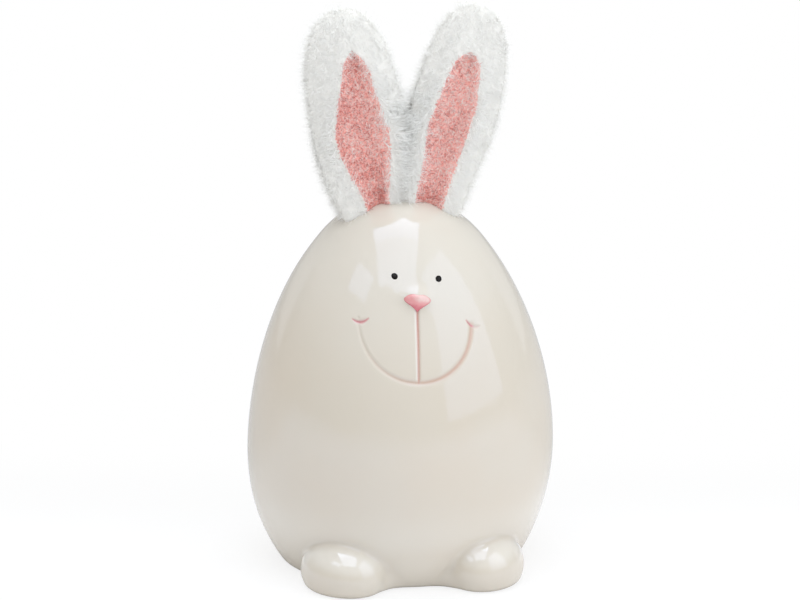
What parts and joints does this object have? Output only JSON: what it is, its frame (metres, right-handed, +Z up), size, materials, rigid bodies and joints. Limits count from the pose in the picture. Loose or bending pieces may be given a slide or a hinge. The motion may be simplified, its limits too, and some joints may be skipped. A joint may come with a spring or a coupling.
{
  "type": "rabbit figurine",
  "caption": "Egg-shaped glazed ceramic rabbit with cast feet, a grooved smiling face with dot eyes and a raised nose, and upright stuffed plush ears that bend on wires; a standing ornament.",
  "frame": {"origin": "centre of the base, on the plane that the figurine stands on", "axes": "+Z up, the face looks towards -Y, +X to the viewer's right"},
  "size_m": [0.082, 0.082, 0.151],
  "materials": {
    "glaze": "glossy ivory glaze",
    "pink_enamel": "glossy pink enamel",
    "black_enamel": "glossy black enamel",
    "line_stain": "pink stain under the glaze",
    "white_plush": "short white pile",
    "pink_plush": "short pink pile",
    "fibre_fill": "loose polyester fibre",
    "steel_wire": "zinc-coated soft wire",
    "hot_glue": "set hot-melt glue"
  },
  "bodies": {
    "figurine": {"ceramic_body": "glaze", "nose": "pink_enamel", "left_eye": "black_enamel", "right_eye": "black_enamel", "smile_line": "line_stain", "philtrum_line": "line_stain", "left_cheek_mark": "line_stain", "right_cheek_mark": "line_stain", "left_ear_glue": "hot_glue", "right_ear_glue": "hot_glue"},
    "left_ear": {"left_ear_back_panel": "white_plush", "left_ear_front_panel": "white_plush", "left_ear_lining": "pink_plush", "left_ear_wadding": "fibre_fill", "left_ear_wire": "steel_wire"},
    "right_ear": {"right_ear_back_panel": "white_plush", "right_ear_front_panel": "white_plush", "right_ear_lining": "pink_plush", "right_ear_wadding": "fibre_fill", "right_ear_wire": "steel_wire"}
  },
  "joints": [
    {"name": "left_ear_bend", "type": "hinge", "parent": "figurine", "child": "left_ear", "pos_m": [-0.0097, 0, 0.1032], "axis": [1, 0, 0], "range_deg": [-40, 40], "deforming": ["left_ear_wire"]},
    {"name": "right_ear_bend", "type": "hinge", "parent": "figurine", "child": "right_ear", "pos_m": [0.0102, 0, 0.1032], "axis": [1, 0, 0], "range_deg": [-40, 40], "deforming": ["right_ear_wire"]}
  ]
}
